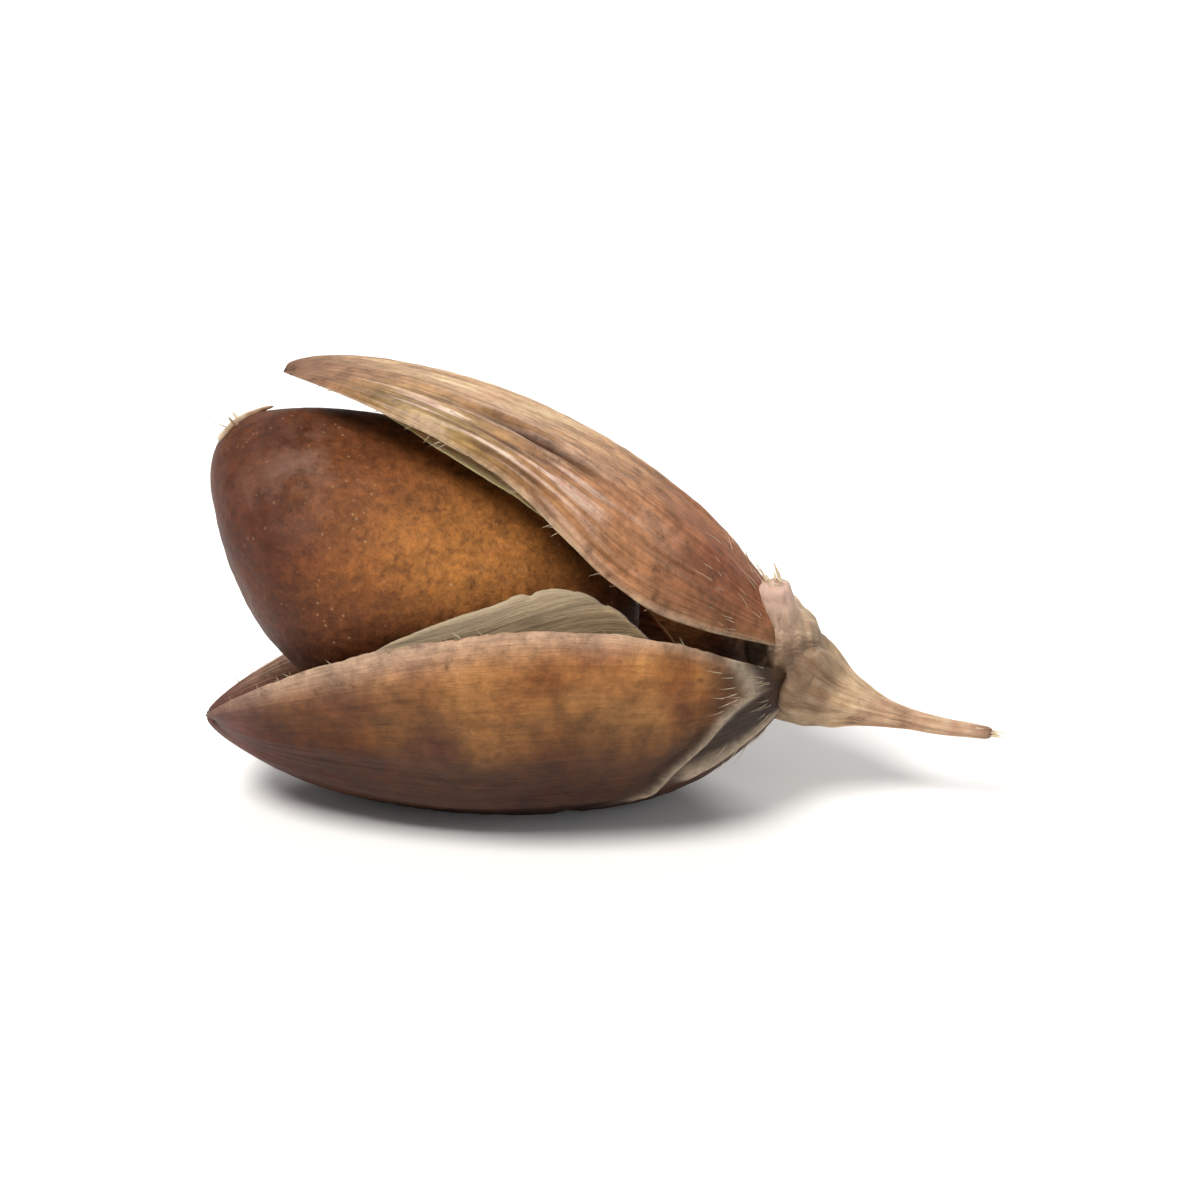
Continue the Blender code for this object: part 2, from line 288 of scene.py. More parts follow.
def bent_shell(boat, rows, columns, span, reach, outer, inner, paints, settle=None):
    """A flat grid given a second layer and bent into a thin shell over a stretch of a boat. Its
    UV map holds s and t, and each of paints is a rule that gives a number for every (s, t)."""
    bm = bmesh.new()
    uv = bm.loops.layers.uv.new("along_and_across")
    layers = {name: bm.verts.layers.float.new(name) for name in paints}
    bmesh.ops.create_grid(bm, x_segments=rows, y_segments=columns, size=0.5)
    copied = bmesh.ops.extrude_face_region(bm, geom=bm.faces[:], use_keep_orig=True)
    inside = {v for v in copied["geom"] if isinstance(v, bmesh.types.BMVert)}
    spot = {}
    for vert in bm.verts:
        share = vert.co.x + 0.5
        closer_at_ends = 0.5 - 0.5 * math.cos(math.pi * share)
        share = EVEN_ROWS * share + (1.0 - EVEN_ROWS) * closer_at_ends
        s = span[0] + (span[1] - span[0]) * share
        t = 2.0 * vert.co.y * reach(share, math.copysign(1.0, vert.co.y))
        spot[vert] = (s, t)
        depth = inner(s, t) if vert in inside else outer(s, t)
        vert.co = boat.point(s, t, depth)
        if settle:
            vert.co = settle(vert.co, s)
        for name, layer in layers.items():
            vert[layer] = max(0.0, min(1.0, paints[name](s, t)))
    for face in bm.faces:
        for loop in face.loops:
            s, t = spot[loop.vert]
            loop[uv].uv = (s, 0.5 + 0.5 * t)
    return bm


print("a smooth random number:", round(wander((0.3, 0.4, 0.5)), 3))

# %% [markdown]
# Materials are built from a few nodes: stretched noise for fibres, blotches for ripeness, and
# the painted numbers for what belongs to one place. A small builder keeps each finish short.
# Every number is at the object's own size: noise scales are per metre, and a bump's height is
# a few hundredths of a millimetre.

# %% A small builder for node materials


class Finish:
    """A node material round one Principled shader."""

    def __init__(self, name, roughness, scatter=0.0, sheen=0.0, gloss=0.28):
        self.material = bpy.data.materials.new(name)
        self.material.use_nodes = True
        self.tree = self.material.node_tree
        self.shader = self.tree.nodes["Principled BSDF"]
        self.shader.inputs["Roughness"].default_value = roughness
        self.shader.inputs["Specular IOR Level"].default_value = gloss
        self.shader.inputs["Sheen Weight"].default_value = sheen
        self.shader.inputs["Subsurface Weight"].default_value = scatter
        self.shader.inputs["Subsurface Radius"].default_value = (1.0, 0.45, 0.2)
        self.shader.inputs["Subsurface Scale"].default_value = 0.2 * MM

    def node(self, kind, **settings):
        made = self.tree.nodes.new(kind)
        for key, value in settings.items():
            setattr(made, key, value)
        return made

    def feed(self, socket, value):
        """Gives an input socket a number, a colour or another node's output."""
        if isinstance(value, (int, float, tuple)):
            socket.default_value = value
        else:
            self.tree.links.new(value, socket)

    def place(self):
        """Where the surface point is, in metres."""
        return self.node("ShaderNodeTexCoord").outputs["Object"]

    def painted(self, name):
        """The number of this name that is painted on the mesh."""
        return self.node("ShaderNodeAttribute", attribute_name=name).outputs["Fac"]

    def along_and_across(self, along=1.0, across=1.0):
        """The piece's UV map, stretched to these many repeats along and across the piece."""
        mapping = self.node("ShaderNodeMapping")
        mapping.inputs["Scale"].default_value = (along, across, 1.0)
        uv = self.node("ShaderNodeUVMap", uv_map="along_and_across")
        self.feed(mapping.inputs["Vector"], uv.outputs["UV"])
        return mapping.outputs["Vector"]

    def cloud(self, where, scale, detail=3.0, roughness=0.55):
        made = self.node("ShaderNodeTexNoise")
        made.inputs["Scale"].default_value = scale
        made.inputs["Detail"].default_value = detail
        made.inputs["Roughness"].default_value = roughness
        self.feed(made.inputs["Vector"], where)
        return made.outputs["Fac"]

    def dots(self, where, scale, size):
        """1 in small round dots and 0 between them."""
        cells = self.node("ShaderNodeTexVoronoi")
        cells.inputs["Scale"].default_value = scale
        self.feed(cells.inputs["Vector"], where)
        return self.ramp(cells.outputs["Distance"], (0.0, 1.0), (size, 0.0))

    def ramp(self, value, *stops):
        """A ramp of colours, or of plain numbers, over these places from 0 to 1."""
        made = self.node("ShaderNodeValToRGB")
        line = made.color_ramp
        while len(line.elements) < len(stops):
            line.elements.new(0.5)
        for element, (where, colour) in zip(line.elements, stops):
            element.position = where
            element.color = colour if isinstance(colour, tuple) else (colour,) * 3 + (1.0,)
        self.feed(made.inputs["Fac"], value)
        return made.outputs["Color"]

    def calculate(self, kind, first, second):
        made = self.node("ShaderNodeMath", operation=kind)
        self.feed(made.inputs[0], first)
        self.feed(made.inputs[1], second)
        return made.outputs["Value"]

    def mix(self, share, first, second, kind="MIX"):
        """Two colours mixed. The node has sockets of the same names for other kinds of value,
        so the ones for colours are taken by their number."""
        made = self.node("ShaderNodeMix", data_type="RGBA", blend_type=kind)
        self.feed(made.inputs[0], share)
        self.feed(made.inputs[6], first)
        self.feed(made.inputs[7], second)
        return made.outputs[2]

    def layers(self, body, *layers):
        """Lays (painted name, colour) layers over a body colour, one after another."""
        for name, colour in layers:
            body = self.mix(self.painted(name), body, colour)
        return body

    def colour(self, value):
        self.feed(self.shader.inputs["Base Color"], value)

    def rough(self, value, low, high):
        spread = self.node("ShaderNodeMapRange")
        spread.inputs["To Min"].default_value = low
        spread.inputs["To Max"].default_value = high
        self.feed(spread.inputs["Value"], value)
        self.feed(self.shader.inputs["Roughness"], spread.outputs["Result"])

    def bump(self, *heights):
        """Bumps from (value, height in metres) pairs, one laid on the next."""
        normal = None
        for value, height in heights:
            made = self.node("ShaderNodeBump")
            made.inputs["Distance"].default_value = height
            self.feed(made.inputs["Height"], value)
            if normal:
                self.feed(made.inputs["Normal"], normal)
            normal = made.outputs["Normal"]
        self.feed(self.shader.inputs["Normal"], normal)


print("the builder has", len([n for n in dir(Finish) if not n.startswith("_")]), "methods")

# %% [markdown]
# The grain's skin is thin and satin. It ripens unevenly: golden brown in the middle, redder at
# the free end, with a grey bloom near the tip where the flower sat. Its lower side is darkened
# with painted shade. Fine pale specks and short dark flecks lie over it, and the skin is faintly
# pebbled.

# %% The grain's finish


def grain_finish():
    skin = Finish("grain_skin", 0.5, scatter=0.08, gloss=0.20)
    where = skin.place()
    drift = skin.cloud(where, 800.0, 5.0)
    body = skin.ramp(drift, (0.30, screen(96, 52, 28)), (0.70, screen(132, 78, 42)))
    body = skin.layers(
        body,
        ("gold", screen(190, 128, 64)),
        ("red", screen(74, 31, 16)),
        # painted shade over the grain's lower side
        ("below", screen(80, 43, 24)),
        ("scar", screen(64, 36, 26)),
    )
    patches = skin.cloud(where, 2600.0, 4.0, 0.6)
    body = skin.mix(0.45, body, skin.ramp(patches, (0.36, 0.32), (0.64, 0.66)), "OVERLAY")
    mottle = skin.cloud(where, 9000.0, 6.0, 0.8)
    light_and_dark = skin.ramp(mottle, (0.36, screen(86, 74, 66)), (0.64, screen(190, 180, 162)))
    body = skin.mix(0.70, body, light_and_dark, "OVERLAY")
    cloudy = skin.ramp(patches, (0.42, 0.0), (0.62, 0.4))
    grey = skin.calculate("MULTIPLY", skin.painted("bloom"), cloudy)
    body = skin.mix(grey, body, screen(136, 112, 98))
    specks = skin.dots(where, 9400.0, 0.20)
    some = skin.ramp(skin.cloud(where, 1900.0, 4.0), (0.44, 0.0), (0.66, 0.60))
    body = skin.mix(skin.calculate("MULTIPLY", specks, some), body, screen(204, 162, 120))
    flecks = skin.ramp(skin.cloud(where, 6500.0, 3.0, 0.6), (0.58, 0.0), (0.68, 0.45))
    skin.colour(skin.mix(flecks, body, screen(66, 32, 22)))
    skin.rough(mottle, 0.42, 0.62)
    skin.bump((mottle, 0.020 * MM), (patches, 0.030 * MM))
    return skin.material


grain_skin = grain_finish()
print("grain finish:", len(grain_skin.node_tree.nodes), "nodes")

# %% [markdown]
# The grain is an egg shape, fuller and blunter at its free end, whose upper side stands out
# past its lower side. It starts as a round sphere of many small faces whose points are moved
# by the solid's formula, with a shallow hollow over the embryo on the hidden side and a dent
# at the foot. Soft waves and small puckers of the dry skin are added.

# %% The grain
GRAIN_LENGTH, GRAIN_WIDTH, GRAIN_THICKNESS = 4.75 * MM, 3.3 * MM, 3.05 * MM
GRAIN_CENTRE = Vector((3.67 * MM, 0.0, 0.81 * MM))
GRAIN_TILT = math.radians(-13.0)
GRAIN_TAPER, GRAIN_FULLNESS, GRAIN_BLUNTNESS, GRAIN_LEAN = 0.10, 0.84, 0.12, 0.50
GRAIN_SIDES, GRAIN_RINGS = 220, 160
EMBRYO_LENGTH, EMBRYO_WIDTH, EMBRYO_DEPTH = 2.3 * MM, 1.3 * MM, 0.13 * MM
EMBRYO_BACK, EMBRYO_RIM = 0.24, 0.35
HILUM_RADIUS, HILUM_DEPTH = 0.42 * MM, 0.07 * MM
HILUM_BACK, HILUM_UP = 0.46, 0.13
STYLE_FOOT = (1.96 * MM, 0.98 * MM)
STYLE_SPREAD = 0.26 * MM
GRAIN_PATCHES = {
    # Each has its strength and then, in mm, its middle's x and z and its reach along and up.
    "gold": (0.9, 3.0, 1.1, 1.1, 0.75),
    "red": (0.75, 5.5, 1.3, 0.8, 1.2),
    # painted shade over the grain's lower side
    "below": (0.8, 4.3, -0.7, 2.6, 0.8),
    "bloom": (1.0, 4.8, 1.85, 0.45, 0.40),
}
grain_place = Matrix.Translation(GRAIN_CENTRE) @ Matrix.Rotation(GRAIN_TILT, 4, "Y")


def grain_point(direction):
    """Where a unit direction's point of the grain lies."""
    nx, ny, nz = direction
    ring = math.hypot(ny, nz)
    along = nx - GRAIN_BLUNTNESS * max(0.0, nx) ** 3
    around = ring**GRAIN_FULLNESS * (1.0 + GRAIN_TAPER * nx) / (1.0 + 0.5 * GRAIN_TAPER)
    spoke = around / ring if ring > 1e-6 else 0.0
    point = Vector((
        0.5 * GRAIN_LENGTH * along,
        0.5 * GRAIN_WIDTH * ny * spoke,
        0.5 * GRAIN_THICKNESS * nz * spoke,
    ))
    point.x += GRAIN_LEAN * point.z * max(0.0, nx)
    if nz < 0.0:
        x = (point.x + EMBRYO_BACK * GRAIN_LENGTH) / (0.5 * EMBRYO_LENGTH)
        y = point.y / (0.5 * EMBRYO_WIDTH)
        away = math.hypot(x, y)
        ridge = EMBRYO_RIM * math.exp(-((away - 1.25) ** 2) / 0.05)
        point.z += EMBRYO_DEPTH * (math.exp(-(away**4)) - ridge)
    hilum = Vector((-HILUM_BACK * GRAIN_LENGTH, 0.0, HILUM_UP * GRAIN_THICKNESS))
    away = (point - hilum).length / HILUM_RADIUS
    point.x += HILUM_DEPTH * math.exp(-(away**4))
    return point


def near(point, x, z, long, high):
    """1 near a place of the spikelet's side view, given in mm, and 0 past these reaches."""
    ragged_x = point.x / MM + 0.25 * wander(point / MM, 1.6, 3.0)
    ragged_z = point.z / MM + 0.25 * wander(point / MM, 1.6, 6.0)
    return bell(ragged_x, x, long) * bell(ragged_z, z, high)


def add_grain():
    bm = bmesh.new()
    paint = {name: bm.verts.layers.float.new(name) for name in (*GRAIN_PATCHES, "scar")}
    bmesh.ops.create_uvsphere(
        bm, u_segments=GRAIN_SIDES, v_segments=GRAIN_RINGS, radius=1.0
    )
    bmesh.ops.rotate(bm, matrix=Matrix.Rotation(math.radians(90.0), 3, "Y"), verts=bm.verts[:])
    for vert in bm.verts:
        direction = vert.co.normalized()
        waves = 0.020 * MM * wander(direction, 2.6) + 0.008 * MM * wander(direction, 8.0, 4.0)
        puckers = 0.004 * MM * wander(direction, 26.0, 8.0)
        vert.co = grain_point(direction) + direction * (waves + puckers)
    bmesh.ops.transform(bm, matrix=grain_place, verts=bm.verts[:])
    style_foot = grain_place @ grain_point(Vector((0.84, 0.0, 0.54)).normalized())
    for vert in bm.verts:
        vert[paint["scar"]] = 0.7 * bell((vert.co - style_foot).length, 0.0, 0.30 * MM)
        for name, (strength, *patch) in GRAIN_PATCHES.items():
            vert[paint[name]] = strength * near(vert.co, *patch)
    finish_piece("grain_body", bm, grain_skin, "grain")


add_grain()

# %% [markdown]
# The husk scales are leathery. Long fibres run from base to tip, the belly of the boat is a
# dark red brown deepened with painted shade, its upper part tan, and the rim dries to a thin
# greyish straw. The finish reads the scale's own length and width, so that the fibres follow
# its curve.

# %% The husk's finish


def husk_finish(name, dull, bright, streaked, *layers):
    """A leathery scale between two tones, with painted layers, fibres and mottling on top."""
    husk = Finish(name, 0.48, scatter=0.06, gloss=0.20)
    where = husk.place()
    drift = husk.cloud(where, 1000.0, 4.0)
    body = husk.ramp(drift, (0.32, dull), (0.68, bright))
    body = husk.layers(body, *layers)
    fibre = husk.cloud(husk.along_and_across(5.0, 80.0), 1.0, 6.0, 0.7)
    body = husk.mix(streaked, body, husk.ramp(fibre, (0.32, 0.22), (0.70, 0.76)), "OVERLAY")
    mottle = husk.cloud(where, 4200.0, 8.0, 0.76)
    body = husk.mix(0.75, body, husk.ramp(mottle, (0.36, 0.24), (0.66, 0.74)), "OVERLAY")
    flecks = husk.ramp(husk.cloud(where, 5200.0, 3.0, 0.6), (0.62, 0.0), (0.72, 0.5))
    husk.colour(husk.mix(flecks, body, screen(70, 38, 26)))
    husk.rough(mottle, 0.38, 0.62)
    husk.bump((fibre, 0.045 * MM), (mottle, 0.018 * MM), (drift, 0.05 * MM))
    return husk.material


lower_husk = husk_finish(
    "lower_husk", screen(152, 92, 44), screen(212, 150, 86), 0.35,
    # the belly's own dark red brown, deepened with painted shade
    ("belly", screen(44, 16, 9)),
    # painted shade, darkening the glume towards its far end
    ("far_end", screen(76, 36, 15)),
    ("blotch", screen(66, 32, 28)),
    ("rim", screen(196, 164, 138)),
    ("tip", screen(122, 78, 70)),
    ("fold_shade", screen(60, 44, 36)),
    ("fold_edge", screen(186, 166, 142)),
)
upper_husk = husk_finish(
    "upper_husk", screen(148, 96, 60), screen(190, 136, 94), 0.70,
    ("straw", screen(158, 134, 80)),
    # pale straw along the back, brightened as a painted highlight on the top ridge
    ("back", screen(234, 208, 166)),
    ("red", screen(142, 80, 56)),
    ("dark_streaks", screen(88, 50, 34)),
    ("pink", screen(238, 206, 184)),
    ("rim", screen(208, 180, 150)),
    ("tip", screen(140, 104, 84)),
    # painted shade in the crease's groove
    ("crease", screen(64, 38, 26)),
)
print("husk finishes:", lower_husk.name, upper_husk.name)

# %% [markdown]
# A glume is bent from a fine grid. Long ribs, the nerves, stand out of its back. The real one
# is never smooth: it waves a little, its fibres stand proud, and its edge is uneven, so noise
# moves the back, the reach of the rims and the thickness. Its foot is drawn in to the joint,
# which closes the fine gap that the solids keep.

# %% What the two glumes share
GLUME_WALL, GLUME_EDGE, NERVE_HEIGHT = 0.18 * MM, 0.08 * MM, 0.05 * MM
FIBRES = 34.0
FOOT_SHARE = 0.075
GLUME_ROWS, GLUME_COLUMNS = 240, 170


def leathery(seed, nerves):
    """A rule for how deep a glume's back lies at (s, t): ribs, fibres and waves."""

    def back(s, t):
        sway = 0.03 * wander((6.0 * s, t, 0.0), 1.0, seed)
        comb = abs(math.cos(0.5 * math.pi * nerves * (t + sway))) ** 4
        fade = arch(s, 0.5) * (1.0 - 0.5 * abs(t))
        waves = 0.035 * MM * wander((4.5 * s, 2.2 * t, 0.0), 1.0, seed + 5.0)
        fibres = 0.012 * MM * wander((7.0 * s, FIBRES * t, 0.0), 1.0, seed + 7.0)
        wrinkles = 0.008 * MM * wander((40.0 * s, 9.0 * t, 0.0), 1.0, seed + 9.0)
        return -NERVE_HEIGHT * comb * fade + (waves + fibres + wrinkles) * arch(s, 0.3)

    return back


def glume_face(s, t):
    wall = GLUME_EDGE + (GLUME_WALL - GLUME_EDGE) * (1.0 - abs(t) ** 3)
    return wall - 0.045 * MM * abs(t) ** 12 + 0.008 * MM * wander((30.0 * s, 9.0 * t, 1.0))


def uneven(seed, depth):
    """A rule for how far towards the rim a scale reaches: long waves and small tears."""

    def reach(share, side):
        long_waves = wander((5.0 * share, side, 0.0), 1.0, seed)
        tears = wander((14.0 * share, side, 0.0), 1.0, seed + 2.0)
        nicks = max(0.0, wander((60.0 * share, side, 0.0), 1.0, seed + 4.0)) ** 2
        return 1.0 - depth * max(0.0, 0.35 + 0.7 * long_waves + 0.5 * tears + 0.7 * nicks)

    return reach


def into_joint(point, s):
    """Draws the foot of a glume back and in towards the joint."""
    pull = max(0.0, 1.0 - s / FOOT_SHARE) ** 2
    joint = Vector((-0.16 * MM, 0.75 * point.y, -0.14 * MM + 0.66 * (point.z + 0.14 * MM)))
    return point.lerp(joint, pull)


print("a glume's edge is", GLUME_EDGE / MM, "mm thick")

# %% [markdown]
# The lower glume is pleated near the joint. One pale ridge runs from the rim down to the belly
# and a second one along the belly from the joint, and between them the scale is thin and sunk,
# with painted shade darkening it there and beside the ridge from the rim.
# Each ridge is one formula, which both the shape and the painted numbers use.

# %% The lower glume


def past_ridge(s, t):
    """How far a place lies past the ridge from the rim, in shares of the glume's length."""
    t = abs(t)
    ridge = 0.035 + 0.42 * max(0.0, 0.78 - t) ** 1.3 + 0.08 * max(0.0, t - 0.78)
    return s - ridge - 0.006 * wander((5.0 * t, 0.0, 0.0))


def past_belly_ridge(s, t):
    """How far a place lies past the ridge along the belly, in shares of the half width."""
    return abs(t) - (0.37 - 0.33 * s) - 0.02 * wander((20.0 * s, 0.0, 1.0))


def step(value, softness):
    """0 well under 0 and 1 well over it, with a smooth change of this softness between."""
    return 0.5 + 0.5 * math.tanh(value / softness)


def ridges(s, t):
    """How strongly a place lies on one of the two ridges, from 0 to 1."""
    from_rim = bell(past_ridge(s, t), 0.0, 0.011) * step(abs(t) - 0.2, 0.08)
    along_belly = bell(past_belly_ridge(s, t), 0.0, 0.045) * step(0.15 - s, 0.02)
    return max(from_rim, along_belly)


def between_ridges(s, t):
    return step(-past_ridge(s, t), 0.008) * step(past_belly_ridge(s, t), 0.03)


lower_leather = leathery(11.0, 7)


def lower_back(s, t):
    hollow = 0.05 * MM * between_ridges(s, t) + 0.03 * MM * bell(past_ridge(s, t), 0.03, 0.02)
    return lower_leather(s, t) - 0.07 * MM * ridges(s, t) + hollow


LOWER_PAINTS = {
    # the belly's own dark red brown with painted shade over it
    "belly": lambda s, t: 0.94
    * step(0.68 + 0.16 * wander((5.0 * s, 3.0 * t, 0.0)) - abs(t), 0.13),
    # painted shade, darkening the glume towards its far end
    "far_end": lambda s, t: 0.85 * bell(s, 1.0, 0.46 + 0.1 * wander((3.0 * s, 5.0 * t, 2.0))),
    "blotch": lambda s, t: 0.8 * bell(s, 0.575, 0.05) * bell(t, 0.62, 0.10)
    + 0.5 * bell(s, 0.72, 0.06) * bell(t, 0.80, 0.07),
    "rim": lambda s, t: 0.85
    * bell(abs(t), 1.0, 0.04 + 0.07 * s + 0.02 * wander((9.0 * s, t, 0.0))),
    "tip": lambda s, t: 0.8 * bell(s, 1.0, 0.09),
    # painted shade between the ridges and beside the ridge from the rim
    "fold_shade": lambda s, t: 0.9 * between_ridges(s, t)
    + 0.6 * bell(past_ridge(s, t), 0.02, 0.03),
    "fold_edge": lambda s, t: 0.9 * ridges(s, t),
}
finish_piece(
    "lower_glume_shell",
    bent_shell(
        lower_boat, GLUME_ROWS, GLUME_COLUMNS, (0.0, 1.0), uneven(11.0, 0.018),
        lower_back, glume_face, LOWER_PAINTS, into_joint,
    ),
    lower_husk, "lower_glume",
)

# %% [markdown]
# The upper glume has a crease, a sharp groove with a soft lip along its near side, and on both
# sides its fibres lie bare in pale and dark streaks. One rule gives how deep the crease is
# along the length.

# %% The upper glume
CREASE_ACROSS = 0.50


def crease(s):
    """How deep the crease is at this share of the length, from 0 to 1."""
    return bell(s, 0.53, 0.10) ** 0.6


def crease_line(s):
    return CREASE_ACROSS + 0.03 * wander((12.0 * s, 0.0, 0.0), 1.0, 5.0)


upper_leather = leathery(23.0, 5)


def upper_back(s, t):
    line = crease_line(s)
    groove = 0.085 * MM * bell(t, line, 0.026)
    lip = 0.045 * MM * bell(t, line - 0.06, 0.045)
    hollow = 0.03 * MM * bell(t, line + 0.14, 0.10)
    return upper_leather(s, t) + crease(s) * (groove - lip + hollow)


def streaks(s, t, seed):
    """Thin lengthwise streaks round the crease, from 0 to 1."""
    bare = bell(s, 0.60, 0.22) ** 0.7 * bell(abs(t), 0.68, 0.26)
    return bare * max(0.0, min(1.0, 3.2 * wander((6.0 * s, 24.0 * t, 0.0), 1.0, seed)))


UPPER_PAINTS = {
    "straw": lambda s, t: 0.85 * bell(s, 0.72, 0.18) * bell(abs(t), 0.80, 0.34),
    # pale straw along the back, brightened as a painted highlight on the top ridge
    "back": lambda s, t: 0.9 * bell(abs(t), 0.1, 0.28) * bell(s, 0.68, 0.30)
    * (0.65 + 0.9 * wander((5.0 * s, 20.0 * t, 3.0))),
    "red": lambda s, t: 0.75 * bell(s, 0.10, 0.18) * bell(abs(t), 0.40, 0.50),
    "dark_streaks": lambda s, t: 0.75 * streaks(s, t, 9.0),
    "pink": lambda s, t: 0.95 * streaks(s, t, 2.0),
    "rim": lambda s, t: 0.7 * bell(abs(t), 1.0, 0.05 + 0.02 * wander((9.0 * s, t, 1.0))),
    "tip": lambda s, t: 0.75 * bell(s, 1.0, 0.12),
    # painted shade in the crease's groove
    "crease": lambda s, t: 0.95 * crease(s) * bell(t, crease_line(s), 0.030),
}
finish_piece(
    "upper_glume_shell",
    bent_shell(
        upper_boat, GLUME_ROWS, GLUME_COLUMNS, (0.0, 1.0), uneven(23.0, 0.022),
        upper_back, glume_face, UPPER_PAINTS, into_joint,
    ),
    upper_husk, "upper_glume",
)

# %% [markdown]
# The inner scales are thin as tissue paper and let some light through. The lower one is a dull
# straw brown and the upper one has a green cast. Their fibres are finer than the husk's, and
# the free edge is torn.

# %% The papery scales
LOWER_INNER_SPAN, UPPER_INNER_SPAN, INNER_END_REACH = (0.09, 0.90), (0.09, 0.88), 0.2
LOWER_INNER_OPENING, UPPER_INNER_OPENING = 1.0, 1.8
INNER_GAP, INNER_WALL = 0.05 * MM, 0.08 * MM
INNER_ROWS, INNER_COLUMNS = 150, 110


def papery_finish(name, dull, bright, edge_tone):
    paper = Finish(name, 0.52, scatter=0.30, sheen=0.1)
    where = paper.place()
    fibre = paper.cloud(paper.along_and_across(4.0, 95.0), 1.0, 5.0, 0.7)
    body = paper.ramp(fibre, (0.32, dull), (0.68, bright))
    mottle = paper.cloud(where, 2600.0, 5.0, 0.65)
    body = paper.mix(0.5, body, paper.ramp(mottle, (0.35, 0.30), (0.66, 0.68)), "OVERLAY")
    paper.colour(paper.layers(body, ("rim", edge_tone)))
    paper.bump((fibre, 0.030 * MM), (paper.cloud(where, 8000.0, 3.0), 0.012 * MM))
    return paper.material


def add_inner_scale(name, node, boat, span, opening, seed, finish):
    torn = uneven(seed, 0.022)

    def reach(share, side):
        width = INNER_END_REACH + (1.0 - INNER_END_REACH) * arch(share**opening, 0.33)
        return width * torn(share, side)

    def crumple(s, t):
        soft = 0.020 * MM * wander((9.0 * s, 3.0 * t, 0.0), 1.0, seed)
        return soft + 0.006 * MM * wander((26.0 * s, 22.0 * t, 0.0), 1.0, seed)

    def back(s, t):
        return GLUME_WALL + INNER_GAP + crumple(s, t)

    def face(s, t):
        return back(s, t) + INNER_WALL * (1.0 - 0.7 * abs(t) ** 5)

    paints = {"rim": lambda s, t: 0.8 * bell(abs(t), 1.0, 0.10)}
    bm = bent_shell(boat, INNER_ROWS, INNER_COLUMNS, span, reach, back, face, paints)
    finish_piece(name, bm, finish, node)


lower_paper = papery_finish(
    "lower_paper", screen(106, 86, 62), screen(172, 148, 112), screen(166, 150, 124)
)
upper_paper = papery_finish(
    "upper_paper", screen(142, 118, 74), screen(196, 176, 122), screen(208, 192, 146)
)
add_inner_scale(
    "lower_papery_scale", "lower_inner_scale", lower_lining,
    LOWER_INNER_SPAN, LOWER_INNER_OPENING, 31.0, lower_paper,
)
add_inner_scale(
    "upper_papery_scale", "upper_inner_scale", upper_lining,
    UPPER_INNER_SPAN, UPPER_INNER_OPENING, 43.0, upper_paper,
)

# %% [markdown]
# The branch stub is a ribbed tube that swells into the joint, and beside it stands the foot of
# the next spikelet's stalk, broken off. A tube is a sphere whose rings are carried along a
# line, so both its ends are closed. The third tube is a short, thick one, the callus that the
# feet of the two glumes grow out of. The three are then united into one skin. Where two of
# them meet, that leaves slivers and a groove as sharp as a knife cut, which a grown thing never
# has, so the slivers are merged and the points round the groove are smoothed.

# %% The straw's finish


def straw_finish():
    straw = Finish("straw", 0.6, scatter=0.10)
    where = straw.place()
    fibre = straw.cloud(straw.along_and_across(3.0, 22.0), 1.0, 5.0, 0.7)
    body = straw.ramp(
        fibre,
        (0.30, screen(150, 112, 78)),
        (0.50, screen(214, 180, 140)),
        (0.72, screen(242, 220, 184)),
    )
    body = straw.layers(
        body,
        ("joint", screen(74, 49, 34)),
        ("thin_end", screen(216, 172, 146)),
        ("broken_end", screen(126, 88, 66)),
    )
    mottle = straw.cloud(where, 2600.0, 6.0, 0.7)
    body = straw.mix(0.7, body, straw.ramp(mottle, (0.34, 0.24), (0.68, 0.72)), "OVERLAY")
    stains = straw.ramp(straw.cloud(where, 1500.0, 4.0), (0.54, 0.0), (0.70, 0.6))
    body = straw.mix(stains, body, screen(104, 70, 46))
    straw.colour(straw.layers(body, ("knob", screen(224, 188, 172))))
    straw.bump((fibre, 0.032 * MM), (mottle, 0.03 * MM))
    return straw.material


straw = straw_finish()
print("straw finish:", len(straw.node_tree.nodes), "nodes")

# %% Tubes


def add_tube(bm, line, radius, sides, rings, ribs=0, rib_height=0.0, roughness=0.0, seed=0.0):
    """A sphere's rings carried along a line. line(q) gives the centre and the direction at share
    q of the way and radius(q) the radius, 0 at both ends. The UV map holds q and the way round,
    which runs from 0 to 1 and back again, so that no seam shows."""
    uv = bm.loops.layers.uv.get("along_and_across") or bm.loops.layers.uv.new("along_and_across")
    made = bmesh.ops.create_uvsphere(bm, u_segments=sides, v_segments=rings, radius=1.0)["verts"]
    spot = {}
    for vert in made:
        q = 1.0 - math.acos(max(-1.0, min(1.0, vert.co.z))) / math.pi
        centre, direction = line(q)
        flat = Vector((vert.co.x, vert.co.y, 0.0))
        angle = math.atan2(flat.y, flat.x)
        spot[vert] = (q, abs(angle) / math.pi)
        if flat.length > 1e-6:
            flat.normalize()
            uneven_by = roughness * wander((2.5 * flat.x, 2.5 * flat.y, 8.0 * q), 1.0, seed)
            flat *= radius(q) * (1.0 + rib_height * math.cos(ribs * angle + 2.0 * q) + uneven_by)
        vert.co = centre + direction.to_track_quat("Z", "Y") @ flat
    for face in {face for vert in made for face in vert.link_faces}:
        for loop in face.loops:
            loop[uv].uv = spot[loop.vert]


print("tubes ready")

